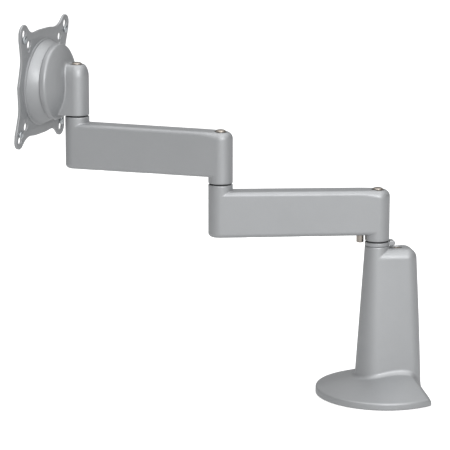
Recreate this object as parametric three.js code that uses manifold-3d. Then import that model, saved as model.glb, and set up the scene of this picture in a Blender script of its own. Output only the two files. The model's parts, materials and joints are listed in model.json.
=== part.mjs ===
// Desk-mount monitor arm: a D-shaped foot with a tapered column, two equal swing arms,
// and a tilting, rotating head with a 75/100 mm screen plate. Millimetres, +Z up.
// -Y is the front (toward the screen), the foot's straight rear edge faces +Y, and the
// origin is on the underside of the foot, on the axis of the column's pivot.
import * as THREE from 'three';
import { mergeVertices } from 'three/addons/utils/BufferGeometryUtils.js';
import Module from 'manifold-3d';

const wasm = await Module();
wasm.setup();
const { degToRad } = THREE.MathUtils;

// ---------------------------------------------------------------- driving dimensions

const GAP = 0.3;                 // air between two pieces that sit together
const RUN = 0.2;                 // radial air of a turning or sliding fit

// Rest pose, in degrees about each joint's own axis.
const LOWER_ARM_ANGLE = -7.8;
const ELBOW_ANGLE = -23.6;
const HEAD_ANGLE = 1.0;
const TILT_ANGLE = -3.5;

// Foot and column.
const PAD_THICKNESS = 2.0;
const PAD_INSET = 2.5;
const FOOT_RADIUS = 70.6;
const FOOT_CENTRE_Y = 8.2;
const FOOT_RIM = 0.6;            // the foot's rim stops this far above the desk
const FOOT_TOP = 8.0;
const FOOT_EDGE = 1.2;
const CROWN_APEX_Y = 26.0;       // the foot's top is a leaning cone, cut off in the column
const CROWN_APEX_RISE = 26.0;
const CROWN_SHARE = 0.77;
const CROWN_BEVEL_SLOPE = 1.7;   // fall of the top toward the straight rear edge
const REAR_Y = 46.6;
const REAR_LEAN = 6.4;           // how far the column's rear comes forward at its top
const NOSE_RADIUS_FOOT = 22.6;
const BLOCK_DROP = 7.5;          // from the lowest pivot's gap down to the rear block's top
const BLOCK_HALF_FOOT = 22.0;
const BLOCK_HALF_TOP = 17.5;
const BLOCK_CORNER = 12.0;
const SHOULDER_RADIUS = 10.0;
const SHOULDER_HEIGHT = 9.0;
const COLUMN_WALL = 5.0;
const CORE_DROP = 46.5;          // from the lowest pivot's gap down to the core's top
const DESK_BOLT_CIRCLE = 52.0;
const DESK_BOLT_RADIUS = 2.6;
const DESK_BOLT_DEPTH = 4.5;
const PLUG_Y = 21.7;             // the screw in the top of the column's rear block
const PLUG_HEAD = 4.5;
const PLUG_HEAD_HEIGHT = 4.5;
const PLUG_SINK = 1.5;
const PLUG_SHANK = 2.9;
const PLUG_LENGTH = 12.0;
const NOSE_STEPS = 10;
const CORNER_STEPS = 4;

// Pivots: all three share one shaft, bush, washer, spring and cap size.
const BASE_PIVOT_Z = 164.5;      // middle of the lowest pivot's gap
const HUB_RADIUS = 12.7;
const HUB_GAP = 1.6;
const HUB_SIDES = 24;
const SHAFT_RADIUS = 6.0;
const SHAFT_BURIED = 26.0;
const BUSH_WALL = 1.5;
const BUSH_LENGTH = 12.0;
const WASHER_RADIUS = 11.2;
const WASHER_THICKNESS = 1.0;
const CAP_RADIUS = 5.4;
const CAP_RIM = 1.3;
const CAP_DOME = 1.9;
const CAP_STEM = 3.0;
const CAP_STEM_LENGTH = 16.0;
const CAP_SINK = 1.2;            // cap's rim starts this far under the hub's top
const RECESS_RADIUS = 6.8;
const SPRING_THICKNESS = 1.0;
const HUB_WEB = 4.5;             // metal between the cap's recess and the shaft's top

// Arms, in the frame of the pivot below them.
const ARM_LENGTH = 163.0;
const ARM_PITCH = 61.2;          // height from one pivot's gap to the next
const ARM_BOTTOM = 7.6;
const ARM_TOP = 54.7;
const ARM_BOTTOM_DROP = 2.2;     // the far end is this much lower
const ARM_TOP_DROP = 0.9;
const ARM_EDGE = 4.0;
const ARM_WALL = 3.6;
const CHANNEL_END = 27.0;        // from each pivot axis to the end of the cable channel
const COVER_THICKNESS = 2.4;
const COVER_SINK = 1.0;          // how far the cover sits above the arm's underside

// Rotation stop of the lowest pivot.
const STOP_RING_HEIGHT = 3.8;
const LUG_OUT = 5.9;             // how far the lug stands out from the ring
const LUG_RADIUS = 2.7;
const LUG_RISE = 0.3;            // lug's middle above the ring's middle
const LUG_CLEARANCE = 0.6;
const LUG_HALF_WIDTH = 4.9;
const STOP_SCREW_OUT = 5.1;      // from the hub's side to the stop screw's axis
const STOP_SCREW_RADIUS = 3.8;
const STOP_SCREW_DROP = 1.4;
const STOP_STEM_RADIUS = 2.0;
const STOP_STEM_LENGTH = 11.0;

// Head. Depths are measured from the pivot axis toward the screen.
const TILT_CENTRE_Z = 34.9;      // above the head pivot's gap
const TILT_CENTRE_FRONT = 5.3;   // from the puck sphere's back to the pivot axis
const TILT_TRAVEL = 12.0;        // degrees each way from upright
const DISC_LIP = 0.64;           // metal left round the mouth of the cup
const DISC_FRONT = 25.6;
const DISC_CREST = 8.3;          // depth of the disc's back where it leaves the hub
const DISC_SHOULDER = 18.0;
const HUB_CROWN = 7.0;           // inset of the head hub's rounded top
const HUB_CROWN_HEIGHT = 14.0;
const CUP_FLOOR = 12.8;
const CUP_FLOOR_RADIUS = 22.0;
const CUP_STEP = 14.4;
const CUP_STEP_RADIUS = 28.0;
const CUP_WALL_DEPTH = 17.0;
const SEAT_RADIUS = 14.0;
const STUD_RADIUS = 3.0;
const STUD_BACK = 9.3;
const STUD_FRONT = 25.0;
const TILT_WASHER_RADIUS = 9.0;
const TILT_WASHER_FACE = 19.3;
const TILT_SPRING_RADIUS = 6.5;
const NUT_RADIUS = 6.2;
const NUT_HEIGHT = 3.2;
const DOME_INSET = 8.5;          // tilting shell inside the puck's sphere, about one centre
const DOME_WALL = 2.5;
const DOME_SKIRT = 23.0;
const DOME_SKIRT_WALL = 3.0;
const DOME_FLANGE = 28.0;
const DOME_FLANGE_BACK = 29.5;
const DOME_FLANGE_THICKNESS = 2.5;
const JOURNAL_WALL = 6.0;
const RETAINER_THICKNESS = 2.2;
const RETAINER_SCREW_CIRCLE = 20.0;
const RETAINER_SCREW_HEAD = 2.5;
const RETAINER_SCREW_SHANK = 1.3;
const RETAINER_SCREW_LENGTH = 7.0;
const SMALL_HEAD_HEIGHT = 1.9;

// Screen plate.
const PLATE_BACK = 39.3;
const PLATE_THICKNESS = 2.6;
const PLATE_WEB = 2.4;
const WEB_WALL = 2.5;
const VESA_OUTER = 50.0;
const VESA_INNER = 37.5;
const KEYHOLE_STEP = 6.0;
const KEYHOLE_BIG = 4.4;
const KEYHOLE_NARROW = 2.25;
const EAR_RADIUS = 9.5;
const EDGE_MIDDLE_TOP = 56.4;
const EDGE_MIDDLE_SIDE = 57.8;
const EDGE_VALLEY_TOP = 55.2;
const EDGE_VALLEY_SIDE = 53.2;
const PUCK_RADIUS = 47.0;        // sphere about the tilt centre
const PUCK_WALL = 2.8;
const PUCK_CREST = 22.9;
const PUCK_FLANGE = 46.4;
const PUCK_FLANGE_THICKNESS = 1.6;
const CUP_CLEARANCE = 0.4;
const SCREW_RADIUS = 1.9;
const SCREW_HEAD_RADIUS = 4.0;
const SCREW_HEAD_HEIGHT = 2.2;
const SCREW_LENGTH = 4.0;

// ---------------------------------------------------------------- looks

function look(color, roughness, metalness) {
  return () => new THREE.MeshStandardMaterial({ color, roughness, metalness });
}

const silverPaint = look(0xa9abad, 0.45, 0.55);
const nickel = look(0xc9c3bd, 0.25, 1.0);
const zinc = look(0xb9c2c4, 0.35, 1.0);
const steel = look(0x8d9093, 0.35, 1.0);
const springSteel = look(0x55585c, 0.4, 1.0);
const brass = look(0xb08d4a, 0.4, 1.0);
const nylon = look(0x2a2b2d, 0.6, 0.0);
const acetal = look(0xdcdad2, 0.5, 0.0);
const blackPlastic = look(0x303235, 0.65, 0.0);
const rubber = look(0x1e1f20, 0.9, 0.0);

// ---------------------------------------------------------------- solids

// A closed three.js geometry as a manifold solid.
function solid(geometry) {
  const bare = geometry.clone();
  bare.deleteAttribute('normal');
  bare.deleteAttribute('uv');
  const merged = mergeVertices(bare, 1e-4);
  return new wasm.Manifold(new wasm.Mesh({
    numProp: 3,
    vertProperties: new Float32Array(merged.attributes.position.array),
    triVerts: new Uint32Array(merged.index.array),
  }));
}

// A manifold solid as a named mesh.
function piece(name, body, material) {
  const { vertProperties, triVerts } = body.getMesh();
  const geometry = new THREE.BufferGeometry();
  geometry.setAttribute('position', new THREE.BufferAttribute(vertProperties, 3));
  geometry.setIndex(new THREE.BufferAttribute(triVerts, 1));
  geometry.computeVertexNormals();
  const mesh = new THREE.Mesh(geometry, material());
  mesh.name = name;
  return mesh;
}

function join(...bodies) {
  return bodies.reduce((sum, body) => sum.add(body));
}

function cut(body, ...tools) {
  return tools.reduce((rest, tool) => rest.subtract(tool), body);
}

// Turns every face of a geometry outward, whichever way its profile ran.
function outward(geometry) {
  const { index, attributes: { position } } = geometry;
  const [a, b, c] = [new THREE.Vector3(), new THREE.Vector3(), new THREE.Vector3()];
  let volume = 0;
  for (let i = 0; i < index.count; i += 3) {
    a.fromBufferAttribute(position, index.getX(i));
    b.fromBufferAttribute(position, index.getX(i + 1));
    c.fromBufferAttribute(position, index.getX(i + 2));
    volume += a.dot(b.cross(c));
  }
  if (volume < 0) {
    for (let i = 0; i < index.count; i += 3) {
      const first = index.getX(i);
      index.setX(i, index.getX(i + 1));
      index.setX(i + 1, first);
    }
  }
  return geometry;
}

// A profile of [radius, height] pairs as a turned solid about Y. It starts and ends on the
// axis, or is a closed loop away from it.
function latheOf(profile, sides) {
  const points = profile.map(([radius, height]) => new THREE.Vector2(radius, height));
  if (profile[0][0] > 0) points.push(points[0].clone());
  return outward(new THREE.LatheGeometry(points, sides));
}

// The same about the upright axis, heights along +Z.
function turned(profile, sides = 20) {
  const geometry = latheOf(profile, sides);
  geometry.rotateX(Math.PI / 2);
  return solid(geometry);
}

// The same about the head's line to the screen, heights as depths toward -Y.
function turnedToScreen(profile, sides = 20) {
  const geometry = latheOf(profile, sides);
  geometry.rotateX(Math.PI);
  return solid(geometry);
}

// An upright cylinder or cone from z0 to z1.
function rod(radius, z0, z1, x = 0, y = 0, sides = 20, topRadius = radius) {
  const geometry = new THREE.CylinderGeometry(topRadius, radius, z1 - z0, sides);
  geometry.rotateX(Math.PI / 2);
  geometry.translate(x, y, (z0 + z1) / 2);
  return solid(geometry);
}

// A cylinder along the line to the screen between two depths.
function screenRod(radius, depth0, depth1, x = 0, z = 0, sides = 16) {
  const geometry = new THREE.CylinderGeometry(radius, radius, depth1 - depth0, sides);
  geometry.translate(x, -(depth0 + depth1) / 2, z);
  return solid(geometry);
}

// An outline in X and Y raised from z0 to z1, with an optional rounded edge that is as tall
// as it is wide unless a rise is given.
function raised(shape, z0, z1, edge = 0, curveSegments = 4, bevelSegments = 2, rise = edge) {
  const geometry = new THREE.ExtrudeGeometry(shape, {
    depth: z1 - z0 - 2 * rise,
    bevelEnabled: edge > 0,
    bevelThickness: rise,
    bevelSize: edge,
    bevelOffset: -edge,
    bevelSegments,
    curveSegments,
  });
  geometry.translate(0, 0, z0 + rise);
  return geometry;
}

// An outline in X and Z raised toward the screen between two depths.
function towardScreen(shape, depth0, depth1, edge = 0, curveSegments = 4) {
  const geometry = raised(shape, depth0, depth1, edge, curveSegments, 1);
  geometry.rotateX(Math.PI / 2);
  return solid(geometry);
}

// Two half circles of one radius joined by straight lines, from y0 to y1 at x.
function stadium(radius, y0, y1, x = 0) {
  const shape = new THREE.Shape();
  shape.absarc(x, y1, radius, 0, Math.PI, false);
  shape.absarc(x, y0, radius, Math.PI, 2 * Math.PI, false);
  shape.closePath();
  return shape;
}

function rectangle(halfX, y0, y1) {
  return new THREE.Shape([
    new THREE.Vector2(-halfX, y0), new THREE.Vector2(halfX, y0),
    new THREE.Vector2(halfX, y1), new THREE.Vector2(-halfX, y1),
  ]);
}

// ---------------------------------------------------------------- column and foot

const RING_TOP = BASE_PIVOT_Z - HUB_GAP / 2;
const RING_BOTTOM = RING_TOP - STOP_RING_HEIGHT;
const LUG_REACH = HUB_RADIUS + LUG_OUT;
const STOP_SCREW_AT = HUB_RADIUS + STOP_SCREW_OUT;
const NOSE_TOP = RING_BOTTOM - GAP;
const FOOT_BOTTOM = PAD_THICKNESS + GAP;
const BLOCK_TOP = BASE_PIVOT_Z - BLOCK_DROP;
const SHOULDER_START = BLOCK_TOP - SHOULDER_HEIGHT;

// Sizes of the column's plan at a height.
function columnAt(z) {
  const t = z / BLOCK_TOP;
  const up = (z - FOOT_BOTTOM) / (NOSE_TOP - FOOT_BOTTOM);
  return {
    nose: NOSE_RADIUS_FOOT + (HUB_RADIUS - NOSE_RADIUS_FOOT) * up,
    half: BLOCK_HALF_FOOT + (BLOCK_HALF_TOP - BLOCK_HALF_FOOT) * t,
    rear: REAR_Y - REAR_LEAN * t ** 1.3,
  };
}

function arcPoints(x, y, radius, from, to, steps) {
  return new THREE.EllipseCurve(x, y, radius, radius, from, to, to < from).getPoints(steps);
}

// The column's plan: a round nose on the pivot axis, straight flanks and round rear corners.
// grow moves the outline outward; the point count is the same at every height.
function columnPlan(z, grow = 0) {
  const { nose, half, rear } = columnAt(z);
  const cornerX = half - BLOCK_CORNER;
  const cornerY = rear - BLOCK_CORNER;
  const reach = Math.hypot(cornerX, cornerY);
  const lean = Math.atan2(cornerX, cornerY) + Math.asin((BLOCK_CORNER - nose) / reach);
  const corner = BLOCK_CORNER + grow;
  return [
    ...arcPoints(0, 0, nose + grow, -Math.PI + lean, -lean, NOSE_STEPS),
    ...arcPoints(cornerX, cornerY, corner, -lean, Math.PI / 2, CORNER_STEPS),
    ...arcPoints(-cornerX, cornerY, corner, Math.PI / 2, Math.PI + lean, CORNER_STEPS),
  ];
}

// A stack of plans with equal point counts, joined from one height to the next.
function lofted(heights, planAt) {
  const plans = heights.map(planAt);
  const geometry = new THREE.ExtrudeGeometry(new THREE.Shape(plans[0]), {
    depth: heights.length - 1,
    steps: heights.length - 1,
    bevelEnabled: false,
  });
  const keyOf = (x, y) => `${x.toFixed(3)},${y.toFixed(3)}`;
  const place = new Map(plans[0].map((point, i) => [keyOf(point.x, point.y), i]));
  const { position } = geometry.attributes;
  for (let i = 0; i < position.count; i += 1) {
    const level = Math.round(position.getZ(i));
    const point = plans[level][place.get(keyOf(position.getX(i), position.getY(i)))];
    position.setXYZ(i, point.x, point.y, heights[level]);
  }
  return solid(geometry);
}

// The D-shaped plan of the foot, smaller by an inset.
function footShape(inset) {
  const radius = FOOT_RADIUS - inset;
  const angle = Math.asin((REAR_Y - inset - FOOT_CENTRE_Y) / radius);
  const shape = new THREE.Shape();
  shape.absarc(0, FOOT_CENTRE_Y, radius, Math.PI - angle, 2 * Math.PI + angle, false);
  shape.closePath();
  return shape;
}

// Tapped holes under the foot for bolting it down, one in front and two behind.
function deskBolts(radius, top) {
  return [-90, 25, 155].map((degrees) => {
    const angle = degToRad(degrees);
    return rod(
      radius, -1, top, DESK_BOLT_CIRCLE * Math.cos(angle), DESK_BOLT_CIRCLE * Math.sin(angle), 12,
    );
  });
}

// The foot's plate, hollow under its rim for the pad, with a conical top that slopes down
// again to the straight rear edge.
function footCasting() {
  const plate = solid(raised(footShape(0), FOOT_RIM, FOOT_TOP, FOOT_EDGE, 22))
    .subtract(solid(raised(footShape(PAD_INSET - GAP), FOOT_RIM - 1, FOOT_BOTTOM, 0, 22)));
  const [radius, rise] = [FOOT_RADIUS - FOOT_EDGE, CROWN_APEX_RISE * CROWN_SHARE];
  const lean = (CROWN_APEX_Y - FOOT_CENTRE_Y) / CROWN_APEX_RISE;
  const cone = new THREE.CylinderGeometry(radius * (1 - CROWN_SHARE), radius, rise, 44);
  cone.rotateX(Math.PI / 2);
  cone.translate(0, 0, rise / 2);
  cone.applyMatrix4(new THREE.Matrix4().set(
    1, 0, 0, 0, 0, 1, lean, FOOT_CENTRE_Y, 0, 0, 1, FOOT_TOP, 0, 0, 0, 1,
  ));
  const above = new THREE.BoxGeometry(4 * FOOT_RADIUS, 4 * FOOT_RADIUS, FOOT_RADIUS);
  above.translate(0, 0, FOOT_RADIUS / 2);
  above.rotateX(-Math.atan(CROWN_BEVEL_SLOPE));
  above.translate(0, REAR_Y - FOOT_EDGE, FOOT_TOP);
  return plate.add(solid(cone).subtract(solid(above)));
}

function baseColumn() {
  const nose = rod(
    columnAt(SHOULDER_START).nose, SHOULDER_START, NOSE_TOP, 0, 0, HUB_SIDES, HUB_RADIUS,
  );
  const inset = (z) => (
    SHOULDER_RADIUS - Math.sqrt(SHOULDER_RADIUS ** 2 - Math.max(0, z - SHOULDER_START) ** 2)
  );
  const shoulder = [0.35, 0.65, 0.85, 1].map((t) => SHOULDER_START + SHOULDER_HEIGHT * t);
  const block = lofted(
    [FOOT_BOTTOM, SHOULDER_START / 2, SHOULDER_START, ...shoulder],
    (z) => columnPlan(z, -inset(z)),
  );
  const core = lofted([0, BASE_PIVOT_Z - CORE_DROP], (z) => columnPlan(z, -COLUMN_WALL));
  const socket = shaftSocket().translate([0, 0, BASE_PIVOT_Z]);
  const seat = BLOCK_TOP - PLUG_HEAD_HEIGHT;
  const plugHole = join(
    rod(PLUG_HEAD + GAP, seat, BLOCK_TOP + 1, 0, PLUG_Y),
    rod(PLUG_SHANK + GAP, seat - PLUG_LENGTH - GAP, BLOCK_TOP, 0, PLUG_Y, 16),
  );
  const bolts = deskBolts(DESK_BOLT_RADIUS, FOOT_BOTTOM + DESK_BOLT_DEPTH);
  return cut(join(footCasting(), nose, block), core, socket, plugHole, ...bolts);
}

function solePad() {
  const pad = solid(raised(footShape(PAD_INSET), 0, PAD_THICKNESS, 0, 20));
  return cut(pad, ...deskBolts(DESK_BOLT_RADIUS + 1, PAD_THICKNESS + 1));
}

// Socket-head screw sunk in the top of the column's rear block.
function columnPlug() {
  const under = BLOCK_TOP - PLUG_HEAD_HEIGHT + GAP;
  const top = BLOCK_TOP - PLUG_SINK;
  return cut(
    join(
      rod(PLUG_HEAD, under, top, 0, PLUG_Y),
      rod(PLUG_SHANK, under - PLUG_LENGTH, under + 1, 0, PLUG_Y, 16),
    ),
    rod(PLUG_SHANK * 0.8, top - PLUG_SINK, top + 1, 0, PLUG_Y, 6),
  );
}

// Ring on top of the column with the lug that the stop screw runs against.
function stopRing() {
  const start = HUB_RADIUS - 2;
  const middle = (RING_TOP + RING_BOTTOM) / 2 + LUG_RISE;
  const end = LUG_REACH - LUG_RADIUS;
  const profile = new THREE.Shape();
  profile.moveTo(start, -LUG_RADIUS);
  profile.absarc(end, 0, LUG_RADIUS, -Math.PI / 2, Math.PI / 2, false);
  profile.lineTo(start, LUG_RADIUS);
  profile.closePath();
  const lug = raised(profile, -LUG_HALF_WIDTH, LUG_HALF_WIDTH, 0, 4);
  lug.rotateX(Math.PI / 2);
  lug.rotateZ(Math.PI / 2);
  lug.translate(0, 0, middle);
  const clear = HUB_RADIUS + LUG_CLEARANCE;
  return cut(
    rod(HUB_RADIUS, RING_BOTTOM, RING_TOP, 0, 0, HUB_SIDES).add(solid(lug).subtract(join(
      rod(clear, RING_TOP, RING_TOP + LUG_REACH, 0, 0, HUB_SIDES),
      rod(clear, RING_BOTTOM - LUG_REACH, RING_BOTTOM, 0, 0, HUB_SIDES),
    ))),
    rod(SHAFT_RADIUS + RUN, RING_BOTTOM - 1, RING_TOP + 1),
  );
}

// ---------------------------------------------------------------- pivots
// Each is drawn about z = 0, the middle of its gap. The shaft is fixed in the piece below;
// the two bushes are pressed into the piece above, whose top is at ARM_TOP.

const HUB_FACE = HUB_GAP / 2;
const CAP_SEAT = ARM_TOP - CAP_SINK - SPRING_THICKNESS - GAP;
const BORE_TOP = CAP_SEAT - HUB_WEB;
const SHAFT_TOP = BORE_TOP - 2 * GAP;
const BUSH_INNER = SHAFT_RADIUS + RUN;
const BUSH_OUTER = BUSH_INNER + BUSH_WALL;

function pivotShaft() {
  const tapped = SHAFT_TOP - CAP_STEM_LENGTH;
  return cut(
    rod(SHAFT_RADIUS, -HUB_FACE - SHAFT_BURIED, SHAFT_TOP),
    rod(CAP_STEM + GAP, tapped, SHAFT_TOP + 1, 0, 0, 16),
  );
}

function thrustWasher() {
  const half = WASHER_THICKNESS / 2;
  return cut(rod(WASHER_RADIUS, -half, half), rod(SHAFT_RADIUS + RUN, -1, 1));
}

function bush(bottom) {
  return cut(
    rod(BUSH_OUTER, bottom, bottom + BUSH_LENGTH),
    rod(BUSH_INNER, bottom - 1, bottom + BUSH_LENGTH + 1),
  );
}

// Coned washer that the cap squeezes against the hub.
function discSpring() {
  const bottom = CAP_SEAT + GAP / 2;
  const inner = CAP_STEM + GAP;
  const outer = RECESS_RADIUS - 3 * GAP;
  const lift = SPRING_THICKNESS * 0.3;
  return turned([
    [inner, bottom + lift], [outer, bottom],
    [outer, bottom + SPRING_THICKNESS - 2 * lift], [inner, bottom + SPRING_THICKNESS - lift],
  ]);
}

// Low domed button on a long stem.
function pivotCap() {
  const seat = ARM_TOP - CAP_SINK;
  const rim = seat + CAP_RIM;
  const end = SHAFT_TOP - CAP_STEM_LENGTH + GAP;
  const dome = [0, 0.45, 0.8, 1].map((t) => [
    CAP_RADIUS * t, rim + CAP_DOME * Math.sqrt(1 - t * t),
  ]);
  return turned([...dome, [CAP_RADIUS, seat], [CAP_STEM, seat], [CAP_STEM, end], [0, end]]);
}

// What a hub above a gap is cut by: its bore, the web's hole and the cap's recess.
function hubBore() {
  return join(
    rod(BUSH_OUTER + GAP, -1, BORE_TOP),
    rod(CAP_STEM + 2 * GAP, BORE_TOP - 1, CAP_SEAT + 1, 0, 0, 16),
    rod(RECESS_RADIUS, CAP_SEAT, ARM_TOP + 1),
  );
}

// The socket in a hub below a gap.
function shaftSocket() {
  return rod(SHAFT_RADIUS + GAP, -HUB_FACE - SHAFT_BURIED - GAP, 1);
}

function addPivot(name, below, above) {
  below.add(
    piece(`${name}_shaft`, pivotShaft(), steel),
    piece(`${name}_thrust_washer`, thrustWasher(), nylon),
    piece(`${name}_disc_spring`, discSpring(), springSteel),
    piece(`${name}_cap`, pivotCap(), nickel),
  );
  above.add(
    piece(`${name}_lower_bush`, bush(HUB_FACE + 2 * GAP), acetal),
    piece(`${name}_upper_bush`, bush(BORE_TOP - GAP - BUSH_LENGTH), acetal),
  );
}

// ---------------------------------------------------------------- arms

// Lowers a geometry's upper and lower halves in proportion to the distance along the arm.
function droop(geometry) {
  const { position } = geometry.attributes;
  const middle = (ARM_BOTTOM + ARM_TOP) / 2;
  for (let i = 0; i < position.count; i += 1) {
    const along = -position.getY(i) / ARM_LENGTH;
    const drop = position.getZ(i) > middle ? ARM_TOP_DROP : ARM_BOTTOM_DROP;
    position.setZ(i, position.getZ(i) - drop * along);
  }
  return solid(geometry);
}

// The cable channel's plan, the same on the cover but for the gap round it.
function channelShape(gap) {
  return rectangle(
    HUB_RADIUS - ARM_WALL - gap, -ARM_LENGTH + CHANNEL_END + gap, -CHANNEL_END - gap,
  );
}

function arm(hasStop) {
  const body = droop(raised(
    stadium(HUB_RADIUS, -ARM_LENGTH, 0), ARM_BOTTOM, ARM_TOP, ARM_EDGE, HUB_SIDES / 4, 3,
  ));
  const downHub = rod(HUB_RADIUS, HUB_FACE, ARM_BOTTOM + 2 * ARM_EDGE, 0, 0, HUB_SIDES);
  const upHub = rod(
    HUB_RADIUS, ARM_TOP - 2 * ARM_EDGE, ARM_PITCH - HUB_FACE, 0, -ARM_LENGTH, HUB_SIDES,
  );
  const channel = droop(raised(channelShape(0), -ARM_BOTTOM, ARM_TOP - ARM_WALL));
  const socket = shaftSocket().translate([0, -ARM_LENGTH, ARM_PITCH]);
  const casting = cut(join(body, downHub, upHub), hubBore(), channel, socket);
  if (!hasStop) return casting;
  return casting.subtract(rod(
    STOP_STEM_RADIUS + GAP, 0, ARM_BOTTOM + STOP_STEM_LENGTH, 0, -STOP_SCREW_AT, 12,
  ));
}

// Cable cover that closes the channel from below.
function armCover() {
  const bottom = ARM_BOTTOM + COVER_SINK;
  return droop(raised(channelShape(GAP), bottom, bottom + COVER_THICKNESS));
}

function stopScrew() {
  const bottom = -STOP_SCREW_DROP;
  const shoulder = ARM_BOTTOM - 2 * GAP;
  const end = shoulder + STOP_STEM_LENGTH;
  return turned([
    [0, bottom], [STOP_SCREW_RADIUS - 0.5, bottom], [STOP_SCREW_RADIUS, bottom + 0.5],
    [STOP_SCREW_RADIUS, shoulder], [STOP_STEM_RADIUS, shoulder], [STOP_STEM_RADIUS, end], [0, end],
  ], 16);
}

// ---------------------------------------------------------------- head
// Pieces of the head and the plate are drawn about the line to the screen: depths run from
// the pivot axis toward -Y, and heights from the tilt centre.

const PLATE_FRONT = PLATE_BACK + PLATE_THICKNESS;
const TILT_CENTRE_DEPTH = PUCK_RADIUS + TILT_CENTRE_FRONT;
const CUP_RADIUS = PUCK_RADIUS + CUP_CLEARANCE;
const DOME_OUTER = PUCK_RADIUS - DOME_INSET;
const DOME_INNER = DOME_OUTER - DOME_WALL;
const DISC_RADIUS = radiusOn(CUP_RADIUS, DISC_FRONT) + DISC_LIP;

// Depth of a sphere about the tilt centre where it has a given radius from the screen line.
function depthOn(sphere, radius) {
  return TILT_CENTRE_DEPTH - Math.sqrt(sphere ** 2 - radius ** 2);
}

// Its radius from the screen line at a given depth.
function radiusOn(sphere, depth) {
  return Math.sqrt(sphere ** 2 - (TILT_CENTRE_DEPTH - depth) ** 2);
}

// Points along such a sphere between two depths.
function sphereArc(sphere, depth0, depth1, steps) {
  return Array.from({ length: steps + 1 }, (_, i) => {
    const depth = depth0 + ((depth1 - depth0) * i) / steps;
    return [radiusOn(sphere, depth), depth];
  });
}

// The lens-shaped disc, cup and pivot hub in one casting.
function headCasting() {
  const back = [0.53, 0.68, 0.82, 0.93, 0.985].map((t) => {
    const rise = (t - 0.32) / 0.68;
    return [DISC_RADIUS * t, DISC_CREST + (DISC_SHOULDER - DISC_CREST) * rise ** 1.9];
  });
  const disc = turnedToScreen([
    [0, DISC_CREST - 2], [HUB_RADIUS, DISC_CREST], ...back,
    [DISC_RADIUS, DISC_SHOULDER + 2], [DISC_RADIUS, DISC_FRONT], [0, DISC_FRONT],
  ], 40);
  const seat = DOME_OUTER + GAP;
  const cup = turnedToScreen([
    [0, depthOn(seat, 0)], [SEAT_RADIUS * 0.6, depthOn(seat, SEAT_RADIUS * 0.6)],
    [SEAT_RADIUS, depthOn(seat, SEAT_RADIUS)], [SEAT_RADIUS, CUP_FLOOR],
    [CUP_FLOOR_RADIUS, CUP_FLOOR], [CUP_STEP_RADIUS, CUP_STEP],
    ...sphereArc(CUP_RADIUS, CUP_WALL_DEPTH, DISC_FRONT + 1, 3), [0, DISC_FRONT + 1],
  ], 40);
  const plan = new THREE.Shape();
  plan.absarc(0, 0, HUB_RADIUS, 0, Math.PI, false);
  plan.lineTo(-HUB_RADIUS, -DISC_SHOULDER);
  plan.lineTo(HUB_RADIUS, -DISC_SHOULDER);
  plan.closePath();
  const rounded = raised(
    plan, HUB_FACE, ARM_TOP, HUB_CROWN, HUB_SIDES / 2, 3, HUB_CROWN_HEIGHT,
  );
  const square = raised(plan, HUB_FACE, ARM_TOP - HUB_CROWN_HEIGHT, 0, HUB_SIDES / 2);
  const stud = screenRod(STUD_RADIUS + GAP, STUD_BACK - GAP, DISC_FRONT, 0, 0, 14);
  return cut(
    join(disc.translate([0, 0, TILT_CENTRE_Z]), solid(rounded), solid(square)),
    cup.translate([0, 0, TILT_CENTRE_Z]),
    stud.translate([0, 0, TILT_CENTRE_Z]),
    hubBore(),
  );
}

// Washer between the tilting dome and the spring: round toward the dome, flat in front.
function tiltWasher() {
  const sphere = DOME_INNER - GAP;
  const edge = TILT_WASHER_RADIUS;
  const bore = STUD_RADIUS + GAP;
  return turnedToScreen([
    [bore, depthOn(sphere, bore)], [edge * 0.7, depthOn(sphere, edge * 0.7)],
    [edge, depthOn(sphere, edge)], [edge, TILT_WASHER_FACE], [bore, TILT_WASHER_FACE],
  ], 18);
}

function ring(outer, inner, depth0, depth1, sides = 20) {
  return turnedToScreen(
    [[inner, depth0], [outer, depth0], [outer, depth1], [inner, depth1]], sides,
  );
}

function hexNut(depth) {
  const hexagon = new THREE.Shape();
  for (let i = 0; i < 6; i += 1) {
    const angle = (i * Math.PI) / 3;
    hexagon.lineTo(NUT_RADIUS * Math.cos(angle), NUT_RADIUS * Math.sin(angle));
  }
  hexagon.closePath();
  return towardScreen(hexagon, depth, depth + NUT_HEIGHT)
    .subtract(screenRod(STUD_RADIUS + GAP, depth - 1, depth + NUT_HEIGHT + 1, 0, 0, 14));
}

const WEB_BACK = DOME_FLANGE_BACK + DOME_FLANGE_THICKNESS + WASHER_THICKNESS + 2 * GAP;
const WEB_FRONT = WEB_BACK + PLATE_WEB;
const JOURNAL_FRONT = WEB_FRONT + GAP;
const RETAINER_BACK = JOURNAL_FRONT + GAP;
const RETAINER_FRONT = RETAINER_BACK + RETAINER_THICKNESS;

function retainerHoles(radius, depth0, depth1) {
  return [90, 210, 330].map((degrees) => {
    const angle = degToRad(degrees);
    return screenRod(
      radius, depth0, depth1,
      RETAINER_SCREW_CIRCLE * Math.cos(angle), RETAINER_SCREW_CIRCLE * Math.sin(angle), 12,
    );
  });
}

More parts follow.
